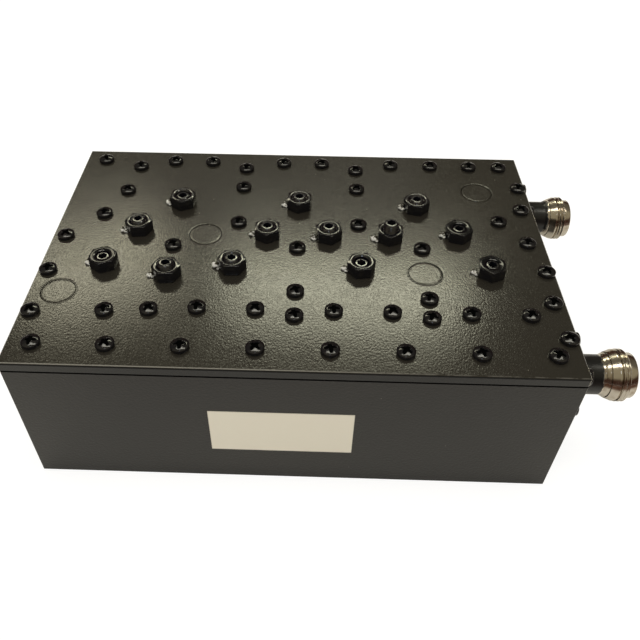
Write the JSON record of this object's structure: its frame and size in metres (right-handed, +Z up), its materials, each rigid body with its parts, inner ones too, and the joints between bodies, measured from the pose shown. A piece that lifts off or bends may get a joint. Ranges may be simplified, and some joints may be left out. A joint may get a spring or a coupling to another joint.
{
  "type": "rf bandpass filter",
  "caption": "Flat black cavity bandpass filter: milled housing, screwed cover with locked tuning screws, threaded coaxial jacks on one side.",
  "frame": {"origin": "centre of the case's underside", "axes": "+X to the side with the jacks, -Y to the face with the label, +Z up out of the cover"},
  "size_m": [0.1826, 0.1092, 0.0596],
  "materials": {
    "housing_coat": "satin",
    "cover_coat": "satin",
    "screw_black": "gloss",
    "tuner_black": "gloss",
    "nut_black": "gloss",
    "jack_nickel": "polished",
    "contact_gold": "polished",
    "white_insulator": "matte",
    "resonator_silver": "satin",
    "plain_steel": "satin",
    "line_silver": "satin",
    "label_film": "satin",
    "clear_glue": "gloss"
  },
  "bodies": {
    "root": {"housing": "housing_coat", "cover": "cover_coat", "cover_screws": "screw_black", "cover_plugs": "cover_coat", "resonator_1": "resonator_silver", "resonator_2": "resonator_silver", "resonator_3": "resonator_silver", "resonator_4": "resonator_silver", "resonator_5": "resonator_silver", "resonator_6": "resonator_silver", "resonator_7": "resonator_silver", "resonator_screws": "plain_steel", "tuning_screw_1": "tuner_black", "tuning_screw_2": "tuner_black", "tuning_screw_3": "tuner_black", "tuning_screw_4": "tuner_black", "tuning_screw_5": "tuner_black", "tuning_screw_6": "tuner_black", "tuning_screw_7": "tuner_black", "coupling_screw_1": "tuner_black", "coupling_screw_2": "tuner_black", "coupling_screw_3": "tuner_black", "coupling_screw_4": "tuner_black", "coupling_screw_5": "tuner_black", "coupling_screw_6": "tuner_black", "lock_nuts": "nut_black", "glue_dabs": "clear_glue", "front_jack_body": "jack_nickel", "front_jack_insulator": "white_insulator", "front_jack_contact": "contact_gold", "front_jack_screws": "screw_black", "back_jack_body": "jack_nickel", "back_jack_insulator": "white_insulator", "back_jack_contact": "contact_gold", "back_jack_screws": "screw_black", "input_line": "line_silver", "line_sleeve": "white_insulator", "input_tap": "line_silver", "output_tap": "line_silver", "front_label": "label_film"}
  },
  "joints": []
}
